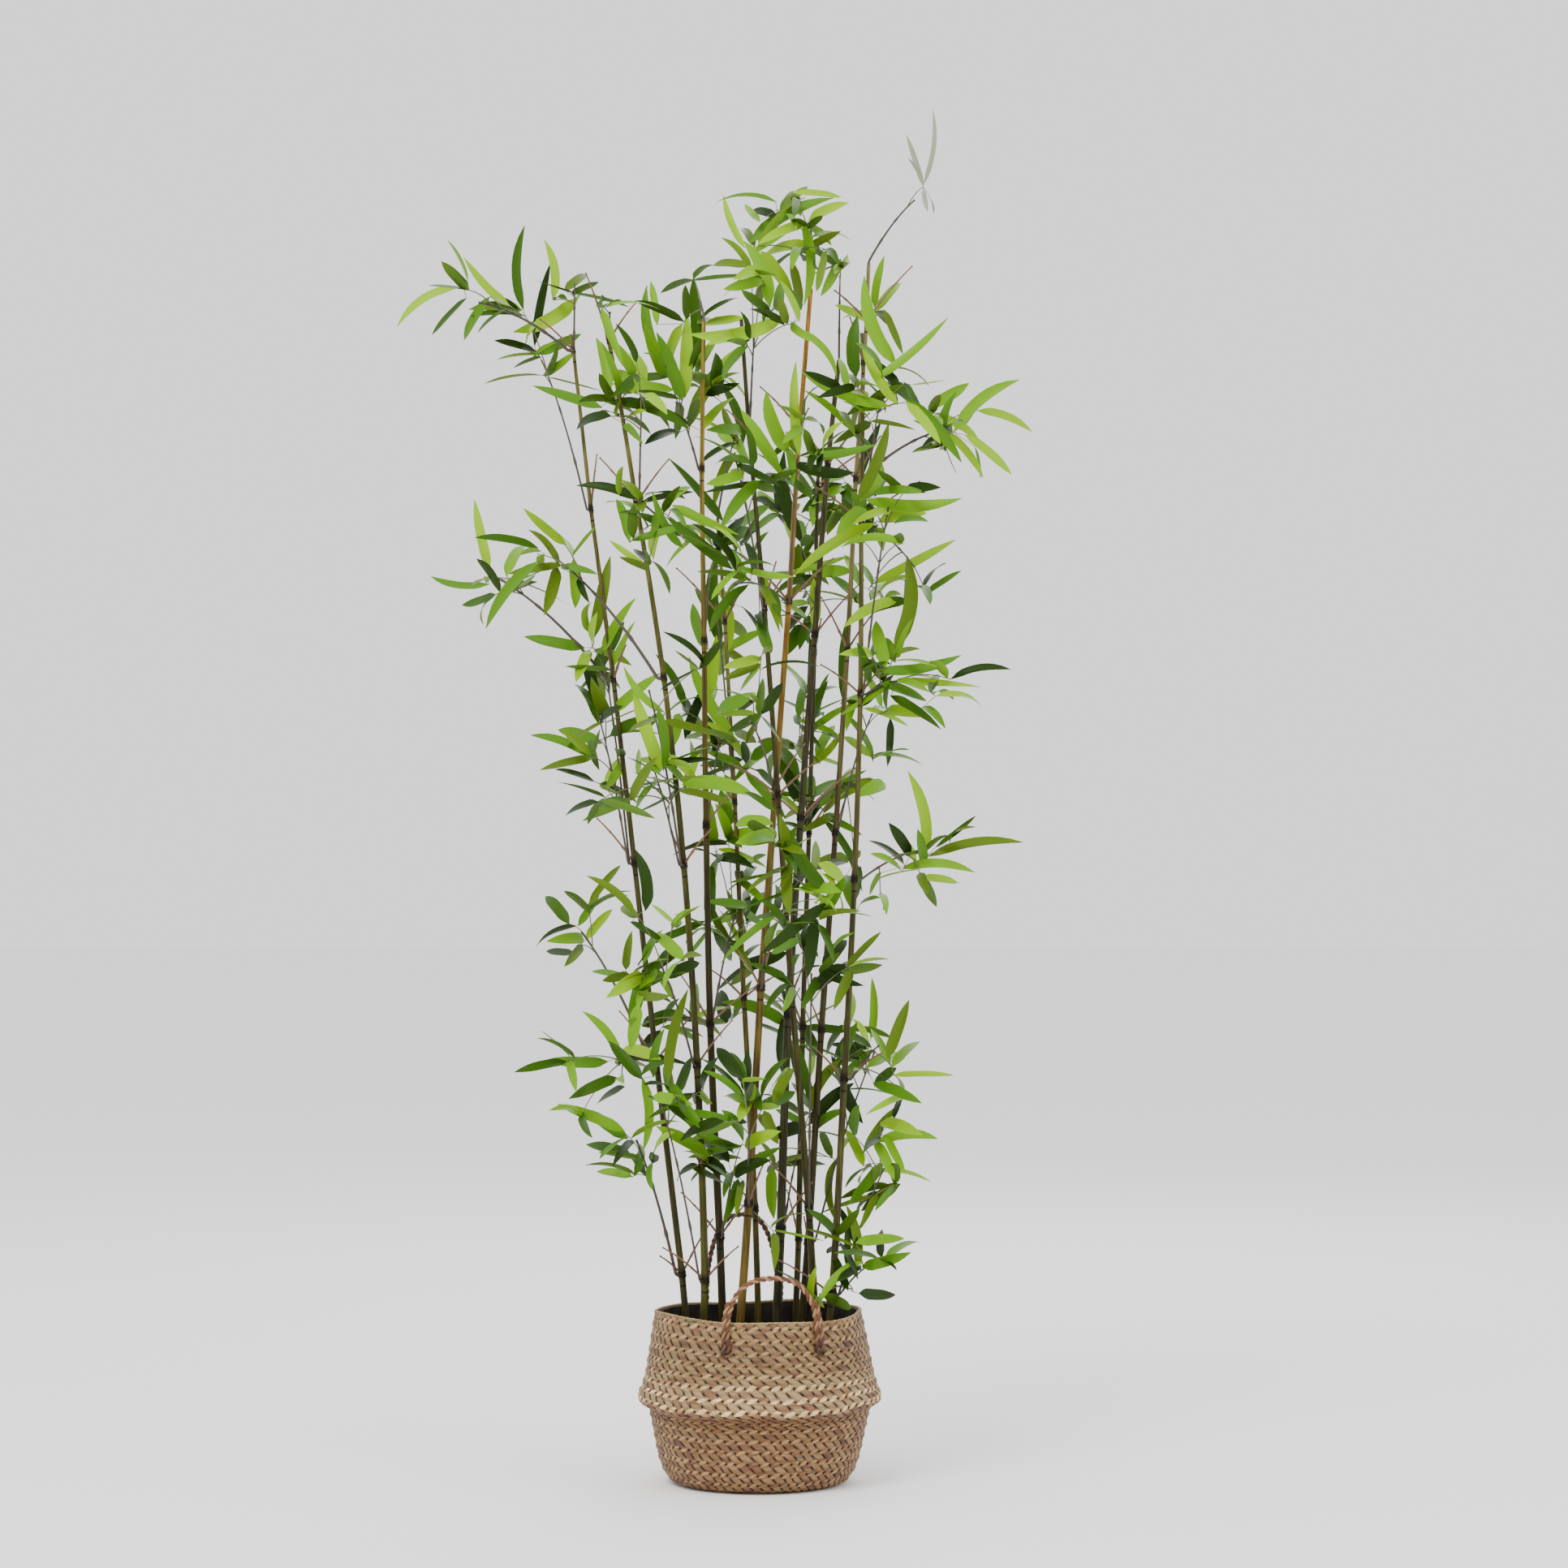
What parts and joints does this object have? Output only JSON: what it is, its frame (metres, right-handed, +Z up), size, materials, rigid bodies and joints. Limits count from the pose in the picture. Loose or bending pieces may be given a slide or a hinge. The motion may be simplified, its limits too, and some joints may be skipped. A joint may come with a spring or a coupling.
{
  "type": "artificial potted bamboo",
  "caption": "Tall artificial bamboo of thin ringed canes with fans of narrow leaves, standing in a woven belly basket with rope handles.",
  "frame": {"origin": "centre of the basket's flat underside, at the mount named underside", "axes": "+Z up along the canes, -Y towards the front handle, +X to the right seen from the front"},
  "size_m": [0.8856, 0.69, 1.8082],
  "materials": {
    "seagrass": "matte",
    "fill": "matte",
    "rope": "matte",
    "cane_olive": "satin",
    "cane_dark": "satin",
    "cane_rust": "satin",
    "cane_tan": "satin",
    "twig": "matte",
    "leaf": "satin"
  },
  "bodies": {
    "root": {"basket": "seagrass", "fill": "fill", "handle_front": "rope", "handle_back": "rope", "cane_a": "cane_olive", "cane_b": "cane_olive", "cane_c": "cane_dark", "cane_d": "cane_rust", "cane_e": "cane_dark", "cane_f": "cane_dark", "cane_g": "cane_tan", "cane_h": "cane_dark", "cane_j": "cane_dark", "cane_k": "cane_tan", "bough_a1": "twig", "bough_a3": "twig", "bough_a6": "twig", "bough_a8": "twig", "bough_b5": "twig", "bough_j3": "twig", "leaves_a1": "leaf", "leaves_a2": "leaf", "leaves_a3": "leaf", "leaves_a4": "leaf", "leaves_a6": "leaf", "leaves_a7": "leaf", "leaves_a8": "leaf", "leaves_b1": "leaf", "leaves_b2": "leaf", "leaves_b3": "leaf", "leaves_b5": "leaf", "leaves_b6": "leaf", "leaves_b8": "leaf", "leaves_c2": "leaf", "leaves_c3": "leaf", "leaves_c5": "leaf", "leaves_c6": "leaf", "leaves_c7": "leaf", "leaves_d1": "leaf", "leaves_d2": "leaf", "leaves_d3": "leaf", "leaves_d5": "leaf", "leaves_d6": "leaf", "leaves_e1": "leaf", "leaves_f1": "leaf", "leaves_f2": "leaf", "leaves_g3": "leaf", "leaves_h1": "leaf", "leaves_h2": "leaf", "leaves_h3": "leaf", "leaves_j3": "leaf", "leaves_j4": "leaf", "leaves_j5": "leaf", "leaves_k1": "leaf", "leaves_k2": "leaf", "leaves_k3": "leaf", "leaves_k4": "leaf", "leaves_k5": "leaf", "leaves_k6": "leaf"}
  },
  "joints": []
}
